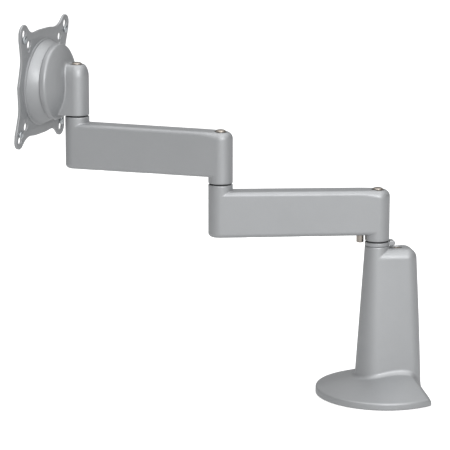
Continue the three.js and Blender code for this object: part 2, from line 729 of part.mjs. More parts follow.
// Spherical shell that tilts on the seat, with the journal that the plate turns on.
function tiltDome() {
  const [outer, wall] = [DOME_OUTER, DOME_SKIRT_WALL];
  const bore = DOME_SKIRT - wall;
  const journalBore = DOME_SKIRT - JOURNAL_WALL;
  const flangeFront = DOME_FLANGE_BACK + DOME_FLANGE_THICKNESS;
  const shell = turnedToScreen([
    [0, depthOn(outer, 0)], [DOME_SKIRT * 0.4, depthOn(outer, DOME_SKIRT * 0.4)],
    [DOME_SKIRT * 0.75, depthOn(outer, DOME_SKIRT * 0.75)], [DOME_SKIRT, depthOn(outer, DOME_SKIRT)],
    [DOME_SKIRT, DOME_FLANGE_BACK], [DOME_FLANGE, DOME_FLANGE_BACK], [DOME_FLANGE, flangeFront],
    [DOME_SKIRT, flangeFront], [DOME_SKIRT, JOURNAL_FRONT], [journalBore, JOURNAL_FRONT],
    [journalBore, DOME_FLANGE_BACK], [bore, DOME_FLANGE_BACK - wall],
    [bore, depthOn(DOME_INNER, bore)], [bore * 0.75, depthOn(DOME_INNER, bore * 0.75)],
    [bore * 0.4, depthOn(DOME_INNER, bore * 0.4)], [0, depthOn(DOME_INNER, 0)],
  ], 28);
  const travel = DOME_OUTER * Math.sin(degToRad(TILT_TRAVEL)) + GAP / 2;
  const slot = towardScreen(stadium(STUD_RADIUS + GAP, -travel, travel), 0, DOME_FLANGE_BACK);
  const depth = JOURNAL_FRONT - RETAINER_SCREW_LENGTH;
  return cut(shell, slot, ...retainerHoles(RETAINER_SCREW_SHANK + GAP, depth, JOURNAL_FRONT + 1));
}

function rollRetainer() {
  const body = ring(
    DOME_FLANGE, DOME_SKIRT - JOURNAL_WALL - 2, RETAINER_BACK, RETAINER_FRONT, 28,
  );
  const hole = RETAINER_SCREW_SHANK + GAP;
  return cut(body, ...retainerHoles(hole, RETAINER_BACK - 1, RETAINER_FRONT + 1));
}

function retainerScrews() {
  const seat = RETAINER_FRONT + GAP;
  const end = JOURNAL_FRONT - RETAINER_SCREW_LENGTH + GAP;
  const shanks = retainerHoles(RETAINER_SCREW_SHANK, end, seat + 1);
  return retainerHoles(RETAINER_SCREW_HEAD, seat, seat + SMALL_HEAD_HEIGHT)
    .map((head, i) => head.add(shanks[i]));
}

// ---------------------------------------------------------------- screen plate

// The plate's outline, made of one quarter mirrored: waisted edges between rounded ears.
function plateOutline() {
  const hole = VESA_OUTER + KEYHOLE_STEP;
  const topEdge = new THREE.SplineCurve([
    new THREE.Vector2(0, EDGE_MIDDLE_TOP),
    new THREE.Vector2(VESA_OUTER * 0.28, EDGE_MIDDLE_TOP - 0.2),
    new THREE.Vector2(VESA_OUTER * 0.54, EDGE_VALLEY_TOP),
    new THREE.Vector2(VESA_OUTER * 0.73, EDGE_VALLEY_TOP + EAR_RADIUS / 4),
    new THREE.Vector2(VESA_OUTER - EAR_RADIUS * 0.62, hole + EAR_RADIUS * 0.78),
  ]).getPoints(8);
  const ear = arcPoints(VESA_OUTER, hole, EAR_RADIUS, Math.PI * 0.715, 0, 7);
  const sideEdge = new THREE.SplineCurve([
    new THREE.Vector2(VESA_OUTER + EAR_RADIUS - 0.3, VESA_OUTER),
    new THREE.Vector2(EDGE_VALLEY_SIDE + 1.8, VESA_OUTER * 0.72),
    new THREE.Vector2(EDGE_VALLEY_SIDE, VESA_OUTER * 0.48),
    new THREE.Vector2(EDGE_MIDDLE_SIDE, 0),
  ]).getPoints(7);
  const quarter = [...topEdge.slice(0, -1), ...ear, ...sideEdge];
  const backwards = [...quarter].reverse();
  const mirrored = (sx, sy, list) => list.map((p) => new THREE.Vector2(sx * p.x, sy * p.y));
  return new THREE.Shape([
    ...quarter,
    ...mirrored(1, -1, backwards).slice(1),
    ...mirrored(-1, -1, quarter).slice(1),
    ...mirrored(-1, 1, backwards).slice(1, -1),
  ]);
}

// Keyhole: a round opening for the screw's head and a narrow slot toward the middle.
function keyhole(x, z) {
  const big = z + Math.sign(z) * KEYHOLE_STEP;
  const [low, high] = [Math.min(z, big), Math.max(z, big)];
  const [back, front] = [PLATE_BACK - 1, PLATE_FRONT + 1];
  return screenRod(KEYHOLE_BIG, back, front, x, big, 14)
    .add(towardScreen(stadium(KEYHOLE_NARROW, low, high, x), back, front, 0, 2));
}

const corners = [[1, 1], [-1, 1], [-1, -1], [1, -1]];

function screenPlate() {
  const recess = DOME_FLANGE + 3;
  const inside = PLATE_BACK + 1;
  const flange = PLATE_BACK - PUCK_FLANGE_THICKNESS;
  const sheet = towardScreen(plateOutline(), PLATE_BACK, PLATE_FRONT, 0.4)
    .subtract(screenRod(recess, WEB_BACK, PLATE_FRONT + 1, 0, 0, 32));
  const puck = turnedToScreen([
    [PUCK_FLANGE, inside], [PUCK_FLANGE, flange], ...sphereArc(PUCK_RADIUS, flange, PUCK_CREST, 3),
    ...sphereArc(PUCK_RADIUS - PUCK_WALL, PUCK_CREST, inside, 2),
  ], 44);
  const web = turnedToScreen([
    [recess + WEB_WALL, inside], [recess + WEB_WALL, WEB_BACK], [DOME_SKIRT + GAP, WEB_BACK],
    [DOME_SKIRT + GAP, WEB_FRONT], [recess, WEB_FRONT], [recess, inside],
  ], 32);
  const holes = [VESA_OUTER, VESA_INNER].flatMap((at) => (
    corners.map(([sx, sz]) => keyhole(sx * at, sz * at))
  ));
  return cut(join(sheet, puck, web), ...holes);
}

// Pan-head screw in a keyhole's narrow end, its head on the side away from the screen.
function plateScrew([sx, sz]) {
  const [x, z] = [sx * VESA_OUTER, sz * VESA_OUTER];
  const seat = PLATE_BACK - GAP;
  return screenRod(SCREW_HEAD_RADIUS, seat - SCREW_HEAD_HEIGHT, seat, x, z)
    .add(screenRod(SCREW_RADIUS, seat - 1, seat + SCREW_LENGTH, x, z, 12));
}

// ---------------------------------------------------------------- assembly

// A group turned about Z by an angle, with its origin at a point.
function swinging(parent, place, angle) {
  const pivot = new THREE.Group();
  pivot.position.set(...place);
  const turning = new THREE.Group();
  turning.rotation.z = degToRad(angle);
  pivot.add(turning);
  parent.add(pivot);
  return [pivot, turning];
}

const base = new THREE.Group();
base.add(
  piece('base_column', baseColumn(), silverPaint),
  piece('sole_pad', solePad(), rubber),
  piece('column_top_screw', columnPlug(), brass),
  piece('stop_ring', stopRing(), silverPaint),
);

const ARM_END = [0, -ARM_LENGTH, ARM_PITCH];
const [basePivot, lowerArm] = swinging(base, [0, 0, BASE_PIVOT_Z], LOWER_ARM_ANGLE);
const [elbow, upperArm] = swinging(lowerArm, ARM_END, ELBOW_ANGLE);
const [neckPivot, head] = swinging(upperArm, ARM_END, HEAD_ANGLE);
addPivot('base_pivot', basePivot, lowerArm);
addPivot('elbow', elbow, upperArm);
addPivot('head_pivot', neckPivot, head);

const stop = piece('stop_screw', stopScrew(), nickel);
stop.position.y = -STOP_SCREW_AT;
lowerArm.add(
  piece('lower_arm', arm(true), silverPaint),
  piece('lower_arm_cover', armCover(), blackPlastic),
  stop,
);
upperArm.add(
  piece('upper_arm', arm(false), silverPaint),
  piece('upper_arm_cover', armCover(), blackPlastic),
);
head.add(piece('head_casting', headCasting(), silverPaint));

const atTiltHeight = new THREE.Group();
atTiltHeight.position.z = TILT_CENTRE_Z;
head.add(atTiltHeight);
const springBack = TILT_WASHER_FACE + GAP;
const nutBack = springBack + SPRING_THICKNESS + GAP;
atTiltHeight.add(
  piece('tilt_stud', screenRod(STUD_RADIUS, STUD_BACK, STUD_FRONT, 0, 0, 14), zinc),
  piece('tilt_washer', tiltWasher(), acetal),
  piece('tilt_spring_washer', ring(
    TILT_SPRING_RADIUS, STUD_RADIUS + GAP, springBack, springBack + SPRING_THICKNESS, 18,
  ), springSteel),
  piece('tilt_nut', hexNut(nutBack), zinc),
);

const tilting = new THREE.Group();
tilting.position.y = -TILT_CENTRE_DEPTH;
tilting.rotation.x = degToRad(TILT_ANGLE);
atTiltHeight.add(tilting);
const tilted = new THREE.Group();
tilted.position.y = TILT_CENTRE_DEPTH;
tilting.add(tilted);
const rollWasherBack = DOME_FLANGE_BACK + DOME_FLANGE_THICKNESS + GAP;
tilted.add(
  piece('tilt_dome', tiltDome(), silverPaint),
  piece('roll_washer', ring(
    DOME_FLANGE, DOME_SKIRT + GAP, rollWasherBack, rollWasherBack + WASHER_THICKNESS, 28,
  ), nylon),
  piece('roll_retainer', rollRetainer(), steel),
  ...retainerScrews().map((screw, i) => piece(`retainer_screw_${i + 1}`, screw, zinc)),
  piece('screen_plate', screenPlate(), silverPaint),
  ...corners.map((corner, i) => piece(`plate_screw_${i + 1}`, plateScrew(corner), zinc)),
);

export default base;
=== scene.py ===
"""Desk monitor arm: smooth castings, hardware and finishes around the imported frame."""
import json
import math

import bmesh
import bpy
import numpy as np
from mathutils import Matrix, Vector


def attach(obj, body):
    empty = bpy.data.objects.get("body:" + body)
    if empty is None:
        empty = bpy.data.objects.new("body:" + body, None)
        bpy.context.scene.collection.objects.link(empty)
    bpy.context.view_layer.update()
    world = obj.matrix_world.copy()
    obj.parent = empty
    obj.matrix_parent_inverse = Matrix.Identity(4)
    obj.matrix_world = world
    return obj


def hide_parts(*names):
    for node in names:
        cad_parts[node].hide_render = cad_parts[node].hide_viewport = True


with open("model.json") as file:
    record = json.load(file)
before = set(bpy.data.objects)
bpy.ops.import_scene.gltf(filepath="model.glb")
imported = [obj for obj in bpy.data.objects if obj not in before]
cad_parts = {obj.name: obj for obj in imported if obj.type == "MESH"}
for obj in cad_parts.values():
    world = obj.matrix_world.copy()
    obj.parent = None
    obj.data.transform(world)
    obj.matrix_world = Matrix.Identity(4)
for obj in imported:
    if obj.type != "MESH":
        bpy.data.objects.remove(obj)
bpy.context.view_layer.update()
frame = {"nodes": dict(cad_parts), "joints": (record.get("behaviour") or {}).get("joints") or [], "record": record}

MM = 0.001

# ------------------------------------------------------------------ places

JOINTS = {j["name"]: j for j in frame["joints"]}


def joint_place(name):
    return Vector(JOINTS[name]["pos_m"]) / MM


J1 = joint_place("base_pivot")
J2 = joint_place("elbow")
J3 = joint_place("head_pivot")
TILT = joint_place("screen_tilt")


def frame_at(origin, front, up=Vector((0, 0, 1))):
    """Matrix whose -Y is front and +Z is up, at a point in mm."""
    back = -front.normalized()
    side = back.cross(up).normalized()
    top = side.cross(back)
    matrix = Matrix((side, back, top)).transposed().to_4x4()
    matrix.translation = origin
    return matrix


def level(v):
    return Vector((v.x, v.y, 0))


UPRIGHT = Matrix.Translation(J1)
LOWER = frame_at(J1, level(J2 - J1))
UPPER = frame_at(J2, level(J3 - J2))
HEAD = frame_at(J3, level(TILT - J3))
SCREEN = Vector(JOINTS["screen_roll"]["axis"])
TILT_DEPTH = level(TILT - J3).length
# The plate's frame: -Y toward the screen, its origin where the head's axis would be.
PLATE = frame_at(TILT - SCREEN * TILT_DEPTH, SCREEN)
REACH = level(J2 - J1).length
PITCH = J2.z - J1.z

# ------------------------------------------------------------------ sizes, mm

HUB = 12.7
HALF_GAP = 0.8
ARM_BOTTOM, ARM_BOTTOM_FALL = 7.6, 2.2
ARM_TOP, ARM_TOP_FALL = 54.7, 0.9
CAP_SEAT = 52.2
CAP_RECESS = 6.8
DISC = 39.8
DISC_FRONT = 25.6
PLATE_BACK = 39.3
PLATE_FRONT = 41.9
PUCK_SPHERE = 47.0
DISC_HEIGHT = (TILT - J3).z
RING_HEIGHT = 3.8
SHAFT_BORE = 6.3
CUP_SPHERE = 47.4
DOME_SEAT_SPHERE = 38.8
COLUMN_SCREW_Y, COLUMN_SCREW_HEAD = 21.7, 4.5
STOP_AT = 17.8

# ------------------------------------------------------------------ fields
# A field gives the signed distance, in mm, of points to a shape: negative inside.


def meet(a, b, r):
    """Both, with the outer edge between them rounded to radius r."""
    u = np.maximum(a + r, 0)
    v = np.maximum(b + r, 0)
    return np.minimum(np.maximum(a, b), -r) + np.sqrt(u * u + v * v)


def blend(a, b, r):
    """Either, with the inner corner between them filled to radius r."""
    u = np.maximum(r - a, 0)
    v = np.maximum(r - b, 0)
    return np.maximum(np.minimum(a, b), r) - np.sqrt(u * u + v * v)


def carve(a, b, r):
    return meet(a, -b, r)


def pole(x, y, r):
    return np.sqrt(x * x + y * y) - r


def slab(z, low, high):
    return np.maximum(low - z, z - high)


def run_of(x, y, y0, y1, r):
    """Plan of two half circles joined by straight sides, along Y."""
    d = y - np.clip(y, y0, y1)
    return np.sqrt(x * x + d * d) - r


def outline(p, q, corners):
    """Signed distance in a plane to a closed polygon."""
    best = np.full(p.shape, 1e9, np.float32)
    sign = np.ones(p.shape, np.float32)
    last = corners[-1]
    for here in corners:
        ex, ey = last[0] - here[0], last[1] - here[1]
        wx, wy = p - here[0], q - here[1]
        t = np.clip((wx * ex + wy * ey) / (ex * ex + ey * ey), 0, 1)
        bx, by = wx - ex * t, wy - ey * t
        best = np.minimum(best, bx * bx + by * by)
        c1, c2, c3 = q >= here[1], q < last[1], ex * wy > ey * wx
        sign = np.where((c1 & c2 & c3) | (~c1 & ~c2 & ~c3), -sign, sign)
        last = here
    return sign * np.sqrt(best)


NOSE_FOOT, NOSE_TOP_Z = 22.6, 159.6
FOOT_RIM, FOOT_BOTTOM, FOOT_TOP = 0.6, 2.3, 8.0
FOOT_R, FOOT_Y, FOOT_EDGE = 70.6, 8.2, 1.2
PAD_EDGE = 2.2
APEX_Y, APEX_RISE = 26.0, 26.0
BEVEL_SLOPE = 1.7
REAR = 46.6
REAR_LEAN = 6.4
BLOCK_TOP = 157.0


def column_plan(x, y, z):
    """The column's plan: round nose, straight flanks tangent to it, round rear corners."""
    t = np.clip(z / BLOCK_TOP, 0, 1.1)
    nose = NOSE_FOOT + (HUB - NOSE_FOOT) * (z - FOOT_BOTTOM) / (NOSE_TOP_Z - FOOT_BOTTOM)
    half = 22.0 - 4.5 * t
    rear = REAR - REAR_LEAN * t ** 1.3
    corner = 11.5
    cx, cy = half - corner, rear - corner
    lean = np.arctan2(cx, cy) + np.arcsin((corner - nose) / np.sqrt(cx * cx + cy * cy))
    q = np.abs(x)
    along = q * np.sin(lean) + y * np.cos(lean)
    flank = q * np.cos(lean) - y * np.sin(lean) - nose
    ex, ey = q - cx, y - cy
    behind = np.where(ex < 0, y - rear, np.sqrt(ex * ex + ey * ey) - corner)
    front = np.sqrt(x * x + y * y) - nose
    end = cx * np.sin(lean) + cy * np.cos(lean)
    plan = np.where(along < 0, front, np.where(along > end, behind, flank))
    return plan, front, y - rear


def foot_field(x, y, z):
    """Disc cut straight behind, its top a low cone that slopes down to the straight edge."""
    plan = meet(pole(x, y - FOOT_Y, FOOT_R), y - REAR, 1.0)
    up = np.clip((z - FOOT_TOP) / APEX_RISE, -0.2, 0.95)
    rim = FOOT_R - FOOT_EDGE
    cone = pole(x, y - FOOT_Y - (APEX_Y - FOOT_Y) * up, rim * (1 - up))
    bevel = z - FOOT_TOP - BEVEL_SLOPE * (REAR - FOOT_EDGE - y)
    top = meet(cone * (APEX_RISE / math.hypot(rim, APEX_RISE)),
               bevel / math.hypot(1, BEVEL_SLOPE), 3.0)
    body = meet(meet(plan, top, 1.5), FOOT_RIM - z, 0.5)
    under = np.maximum(pole(x, y - FOOT_Y, FOOT_R - PAD_EDGE), y - REAR + PAD_EDGE)
    return np.maximum(body, -np.maximum(under, z - FOOT_BOTTOM))


def base_field(x, y, z):
    plan, nose, back = column_plan(x, y, z)
    block = meet(plan, z - BLOCK_TOP, 10.0)
    post = meet(nose, z - NOSE_TOP_Z, 0.8)
    column = np.minimum(block, post)
    column = np.maximum(column, FOOT_BOTTOM - z)
    body = blend(column, foot_field(x, y, z), 4.0)
    body = np.maximum(body, back)
    seat = np.maximum(pole(x, y - COLUMN_SCREW_Y, COLUMN_SCREW_HEAD + 0.4),
                      BLOCK_TOP - COLUMN_SCREW_HEAD - z)
    return carve(body, seat, 0.7)


def arm_field(x, y, z):
    along = -y / REACH
    low = ARM_BOTTOM - ARM_BOTTOM_FALL * along
    high = ARM_TOP - ARM_TOP_FALL * along
    plan = run_of(x, y, -REACH, 0, HUB)
    near_end = np.clip((y + 22) / 22, 0, 1)
    body = meet(plan, z - high, 4.6 + 3.2 * near_end * near_end)
    body = np.maximum(body, meet(plan, low - z, 4.2))
    near = meet(np.maximum(pole(x, y, HUB), z - 30), HALF_GAP - z, 0.5)
    far = meet(pole(x, y + REACH, HUB), z - (PITCH - HALF_GAP), 0.5)
    far = np.maximum(far, 30 - z)
    body = np.minimum(body, np.minimum(near, far))
    recess = np.maximum(pole(x, y, CAP_RECESS), CAP_SEAT - z)
    body = carve(body, recess, 0.6)
    slot = np.maximum(np.abs(x) - 9.1, slab(y, -REACH + 27, -27))
    return carve(body, np.maximum(slot, z - low - 4.5), 0.4)


DISC_BACK = ((0, 5.5), (12.7, 8.0), (17.5, 8.6), (22.0, 9.7), (27.0, 11.8), (31.5, 14.2),
             (35.0, 16.3), (37.4, 17.8), (39.0, 19.0), (DISC, 20.6))


def sphere_radius(sphere, depth):
    return math.sqrt(sphere ** 2 - (TILT_DEPTH - depth) ** 2)


def sphere_depth(sphere, radius):
    return TILT_DEPTH - math.sqrt(sphere ** 2 - radius ** 2)


HUB_CROWN = 7.0
CROWN_STRETCH = 2.0      # the hub's rounded top is this many times taller than wide


def head_field(x, y, z):
    radius = np.sqrt(x * x + (z - DISC_HEIGHT) ** 2)
    depth = -y
    lens = outline(radius, depth, [*DISC_BACK, (DISC, DISC_FRONT), (0, DISC_FRONT), (-9, 5.5)])
    sides = np.where(y > 0, pole(x, y, HUB), np.abs(x) - HUB)
    hub = meet(np.maximum(sides, depth - 16), (z - ARM_TOP) / CROWN_STRETCH, HUB_CROWN)
    hub = meet(hub, HALF_GAP - z, 0.5)
    body = blend(hub, lens, 1.5)
    seat = [(r, sphere_depth(DOME_SEAT_SPHERE, r)) for r in (0, 5, 9.5, 14)]
    cup = [(-9, seat[0][1]), *seat, (14, 12.8), (22, 12.8), (28, 14.4)]
    cup += [(sphere_radius(CUP_SPHERE, d), d) for d in (17.0, 19.5, 22, 24, 27)]
    cup += [(-9, 27)]
    body = carve(body, outline(radius, depth, cup), 1.3)
    recess = np.maximum(pole(x, y, CAP_RECESS), CAP_SEAT - z)
    return carve(body, recess, 0.6)


def ring_field(x, y, z):
    top, bottom = -HALF_GAP, -HALF_GAP - RING_HEIGHT
    ring = meet(pole(x, y, HUB), slab(z, bottom, top), 0.4)
    middle = (top + bottom) / 2 + 0.3
    r = 2.7
    lug = np.sqrt(np.maximum(y - 18.6 + r, 0) ** 2 + (z - middle) ** 2) - r
    lug = meet(lug, np.abs(x) - 4.9, 1.0)
    lug = np.maximum(lug, 10.7 - y)
    outside = np.maximum(pole(x, y, HUB + 0.7), -slab(z, bottom, top))
    lug = carve(lug, outside, 0.3)
    body = blend(ring, lug, 0.6)
    return carve(body, pole(x, y, SHAFT_BORE), 0.3)


# ------------------------------------------------------------------ meshing


def gradient(field, p, h=0.05):
    g = np.empty_like(p)
    for i in range(3):
        step = np.zeros(3)
        step[i] = h
        a, b = p + step, p - step
        g[:, i] = (field(*a.T) - field(*b.T)) / (2 * h)
    return g


CORNERS = [(i, j, k) for i in (0, 1) for j in (0, 1) for k in (0, 1)]
EDGES = [(a, b) for a in range(8) for b in range(a + 1, 8)
         if sum(abs(CORNERS[a][i] - CORNERS[b][i]) for i in range(3)) == 1]


def skin(field, low, high, step):
    """Quads round a field's zero surface, one vertex to each grid cell it passes through."""
    low = np.array(low, float) - 1.5 * step + 0.013
    counts = np.ceil((np.array(high) + 1.5 * step - low) / step).astype(int) + 1
    axes = [(low[i] + step * np.arange(counts[i])).astype(np.float32) for i in range(3)]
    value = field(*np.meshgrid(*axes, indexing="ij")).astype(np.float32)
    inside = value < 0
    parts = [tuple(slice(c[i], counts[i] - 1 + c[i]) for i in range(3)) for c in CORNERS]
    held = sum(inside[s].astype(np.int8) for s in parts)
    cells = np.argwhere((held > 0) & (held < 8))
    number = np.full(held.shape, -1, np.int64)
    number[tuple(cells.T)] = np.arange(len(cells))
    corner_values = np.stack([value[s][tuple(cells.T)] for s in parts], 1)
    total = np.zeros((len(cells), 3))
    hits = np.zeros(len(cells))
    for a, b in EDGES:
        va, vb = corner_values[:, a], corner_values[:, b]
        crossed = (va < 0) != (vb < 0)
        t = np.where(crossed, va / np.where(crossed, va - vb, 1), 0)
        ca, cb = np.array(CORNERS[a], float), np.array(CORNERS[b], float)
        total += crossed[:, None] * (ca + (cb - ca) * t[:, None])
        hits += crossed
    points = low + step * (cells + total / hits[:, None])
    for _ in range(3):
        g = gradient(field, points)
        move = (field(*points.T) / np.maximum((g * g).sum(1), 0.2))[:, None] * g
        points -= np.clip(move, -0.5 * step, 0.5 * step)
    quads = []
    for axis in range(3):
        u, v = [i for i in range(3) if i != axis]
        near = [slice(None)] * 3
        far = [slice(None)] * 3
        near[axis], far[axis] = slice(0, -1), slice(1, None)
        a, b = inside[tuple(near)], inside[tuple(far)]
        for here, flip in ((a & ~b, axis == 1), (~a & b, axis != 1)):
            at = np.argwhere(here)
            at = at[(at[:, u] > 0) & (at[:, v] > 0)]
            ring = []
            for du, dv in ((-1, -1), (0, -1), (0, 0), (-1, 0)):
                cell = at.copy()
                cell[:, u] += du
                cell[:, v] += dv
                ring.append(number[tuple(cell.T)])
            quad = np.stack(ring, 1)
            quads.append(quad[:, ::-1] if flip else quad)
    return points, np.concatenate(quads)


def place_mesh(name, points, faces, matrix):
    """A mesh object from mm coordinates in a local frame."""
    m = np.array(matrix)
    world = (points @ m[:3, :3].T + m[:3, 3]) * MM
    mesh = bpy.data.meshes.new(name)
    mesh.vertices.add(len(world))
    mesh.vertices.foreach_set("co", world.astype(np.float32).ravel())
    mesh.loops.add(faces.size)
    mesh.loops.foreach_set("vertex_index", faces.astype(np.int32).ravel())
    mesh.polygons.add(len(faces))
    mesh.polygons.foreach_set("loop_start", (np.arange(len(faces)) * 4).astype(np.int32))
    mesh.polygons.foreach_set("use_smooth", np.ones(len(faces), bool))
    mesh.update(calc_edges=True)
    mesh.validate()
    obj = bpy.data.objects.new(name, mesh)
    bpy.context.scene.collection.objects.link(obj)
    return obj


def casting(name, field, low, high, step, matrix):
    points, faces = skin(field, low, high, step)
    return place_mesh(name, points, faces, matrix)


def from_bmesh(name, bm, matrix, sharp=35):
    bmesh.ops.recalc_face_normals(bm, faces=bm.faces)
    mesh = bpy.data.meshes.new(name)
    bm.to_mesh(mesh)
    bm.free()
    mesh.transform(Matrix.Scale(MM, 4) @ matrix)
    for polygon in mesh.polygons:
        polygon.use_smooth = True
    mesh.set_sharp_from_angle(angle=math.radians(sharp))
    obj = bpy.data.objects.new(name, mesh)
    bpy.context.scene.collection.objects.link(obj)
    return obj


def spin(bm, profile, sides=96, closed=None):
    """Turns a profile of (radius, height) about Z: a loop, or from axis to axis."""
    rings = []
    for radius, height in profile:
        if radius < 1e-6:
            rings.append([bm.verts.new((0, 0, height))])
        else:
            rings.append([
                bm.verts.new((radius * math.cos(2 * math.pi * i / sides),
                              radius * math.sin(2 * math.pi * i / sides), height))
                for i in range(sides)
            ])
    if closed is None:
        closed = profile[0][0] > 1e-6
    pairs = list(zip(rings, rings[1:]))
    if closed:
        pairs.append((rings[-1], rings[0]))
    for a, b in pairs:
        for i in range(sides):
            k = (i + 1) % sides
            if len(a) == 1:
                bm.faces.new((a[0], b[i], b[k]))
            elif len(b) == 1:
                bm.faces.new((a[i], a[k], b[0]))
            else:
                bm.faces.new((a[i], a[k], b[k], b[i]))


def soften(profile, radius, steps=4):
    """Rounds the corners of a profile, apart from points on the axis."""
    closed = profile[0][0] > 1e-6
    out = []
    count = len(profile)
    for i, here in enumerate(profile):
        if not closed and i in (0, count - 1):
            out.append(here)
            continue
        a = Vector(profile[i - 1]) - Vector(here)
        b = Vector(profile[(i + 1) % count]) - Vector(here)
        if a.length < 1e-6 or b.length < 1e-6 or a.angle(b) > math.radians(150):
            out.append(here)
            continue
        cut = min(radius, a.length * 0.45, b.length * 0.45)
        start = Vector(here) + a.normalized() * cut
        end = Vector(here) + b.normalized() * cut
        for k in range(steps + 1):
            t = k / steps
            point = start * (1 - t) ** 2 + Vector(here) * 2 * t * (1 - t) + end * t ** 2
            out.append((point.x, point.y))
    return out


def turned(name, profile, matrix, sides=96, round_to=0.3):
    """A turned piece with softened corners."""
    bm = bmesh.new()
    spin(bm, soften(profile, round_to), sides)
    return from_bmesh(name, bm, matrix)


TO_SCREEN = Matrix.Rotation(math.radians(90), 4, "X")   # a solid drawn along +Z points to -Y

# ------------------------------------------------------------------ materials


def shader(name):
    material = bpy.data.materials.new(name)
    material.use_nodes = True
    return material, material.node_tree.nodes, material.node_tree.links


def finish_material(name, colour, roughness, metallic, grain, mottle=0.06, rough_spread=0.06,
                    bump=0.0004, bump_grain=None, wear=None, coat=0.0, stretch=(1, 1, 1)):
    """A finish with mottled colour, uneven gloss, a fine bump and paler or darker edges."""
    material, nodes, links = shader(name)
    surface = nodes["Principled BSDF"]
    surface.inputs["Metallic"].default_value = metallic
    if coat:
        surface.inputs["Coat Weight"].default_value = coat
        surface.inputs["Coat Roughness"].default_value = 0.25
    place = nodes.new("ShaderNodeTexCoord")
    mapping = nodes.new("ShaderNodeMapping")
    mapping.inputs["Scale"].default_value = stretch
    links.new(place.outputs["Object"], mapping.inputs["Vector"])

    def noise(scale, detail, rough=0.55):
        node = nodes.new("ShaderNodeTexNoise")
        node.inputs["Scale"].default_value = scale
        node.inputs["Detail"].default_value = detail
        node.inputs["Roughness"].default_value = rough
        links.new(mapping.outputs["Vector"], node.inputs["Vector"])
        return node

    def ranged(source, low, high, inner=(0.3, 0.7)):
        node = nodes.new("ShaderNodeMapRange")
        node.inputs["From Min"].default_value = inner[0]
        node.inputs["From Max"].default_value = inner[1]
        node.inputs["To Min"].default_value = low
        node.inputs["To Max"].default_value = high
        links.new(source, node.inputs["Value"])
        return node.outputs["Result"]

    broad = noise(28, 3)
    fine = noise(grain, 2, 0.7)
    both = nodes.new("ShaderNodeMath")
    both.operation = "ADD"
    links.new(ranged(broad.outputs["Fac"], 1 - mottle * 0.5, 1 + mottle * 0.5), both.inputs[0])
    links.new(ranged(fine.outputs["Fac"], -mottle, mottle), both.inputs[1])
    tint = nodes.new("ShaderNodeVectorMath")
    tint.operation = "SCALE"
    tint.inputs[0].default_value = colour
    links.new(both.outputs[0], tint.inputs["Scale"])
    result = tint.outputs["Vector"]
    if wear:
        geometry = nodes.new("ShaderNodeNewGeometry")
        mix = nodes.new("ShaderNodeMix")
        mix.data_type = "RGBA"
        mix.inputs["B"].default_value = (*wear, 1)
        smear = noise(160, 4)
        amount = nodes.new("ShaderNodeMath")
        amount.operation = "MULTIPLY"
        links.new(ranged(geometry.outputs["Pointiness"], 0, 0.55, (0.53, 0.62)), amount.inputs[0])
        links.new(ranged(smear.outputs["Fac"], 0, 1, (0.4, 0.65)), amount.inputs[1])
        links.new(amount.outputs[0], mix.inputs["Factor"])
        links.new(result, mix.inputs["A"])
        result = mix.outputs["Result"]
    links.new(result, surface.inputs["Base Color"])
    links.new(ranged(noise(65, 4).outputs["Fac"], roughness - rough_spread,
                     roughness + rough_spread), surface.inputs["Roughness"])
    relief = nodes.new("ShaderNodeBump")
    relief.inputs["Strength"].default_value = 0.6
    relief.inputs["Distance"].default_value = bump
    links.new(noise(bump_grain or grain, 3).outputs["Fac"], relief.inputs["Height"])
    links.new(relief.outputs["Normal"], surface.inputs["Normal"])
    return material


PAINT = finish_material("silver_paint", (0.405, 0.414, 0.424), 0.48, 0.66, 2600, mottle=0.035,
                        rough_spread=0.04, bump=0.00006, bump_grain=900,
                        wear=(0.56, 0.57, 0.58), coat=0.04)
NICKEL = finish_material("nickel", (0.42, 0.38, 0.34), 0.20, 1.0, 900, mottle=0.03,
                         rough_spread=0.06, bump=0.00002)
ZINC = finish_material("zinc", (0.60, 0.63, 0.65), 0.26, 1.0, 1200, mottle=0.08,
                       rough_spread=0.08, bump=0.00004)
STEEL = finish_material("steel", (0.34, 0.35, 0.36), 0.34, 1.0, 500, mottle=0.06,
                        rough_spread=0.08, bump=0.00003, stretch=(1, 1, 8))
SPRING = finish_material("spring_steel", (0.10, 0.105, 0.11), 0.42, 0.9, 700, mottle=0.1)
BRASS = finish_material("brass", (0.30, 0.20, 0.08), 0.38, 1.0, 700, mottle=0.12,
                        rough_spread=0.1, wear=(0.62, 0.46, 0.22))
NYLON = finish_material("nylon", (0.022, 0.023, 0.025), 0.6, 0.0, 1500, mottle=0.15,
                        bump=0.00005)
ACETAL = finish_material("acetal", (0.68, 0.66, 0.60), 0.5, 0.0, 1300, mottle=0.05)
BLACK = finish_material("black_plastic", (0.03, 0.032, 0.036), 0.62, 0.0, 2200, mottle=0.2,
                        rough_spread=0.1, bump=0.00012, bump_grain=1400)
RUBBER = finish_material("rubber", (0.014, 0.014, 0.015), 0.88, 0.0, 1500, mottle=0.25,
                         bump=0.0002, bump_grain=700)
BY_SLOT = {"silver_paint": PAINT, "nickel": NICKEL, "zinc": ZINC, "steel": STEEL,
           "spring_steel": SPRING, "brass": BRASS, "nylon": NYLON, "acetal": ACETAL,
           "black_plastic": BLACK, "rubber": RUBBER}
NODE_SLOT = {s["node"]: s["material_slot"] for s in frame["record"]["subparts"]}

for node_name, node_object in frame["nodes"].items():
    for material_slot in node_object.material_slots:
        material_slot.material = BY_SLOT[NODE_SLOT[node_name]]


def stands_for(piece, node, body=None):
    """Shows a piece in place of a CAD node, on its body and in its finish."""
    owner = body or next(b for b, ns in frame["record"]["behaviour"]["bodies"].items()
                         if node in ns)
    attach(piece, owner)
    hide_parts(node)
    piece.data.materials.append(BY_SLOT[NODE_SLOT[node]])
    return piece


# ------------------------------------------------------------------ pieces

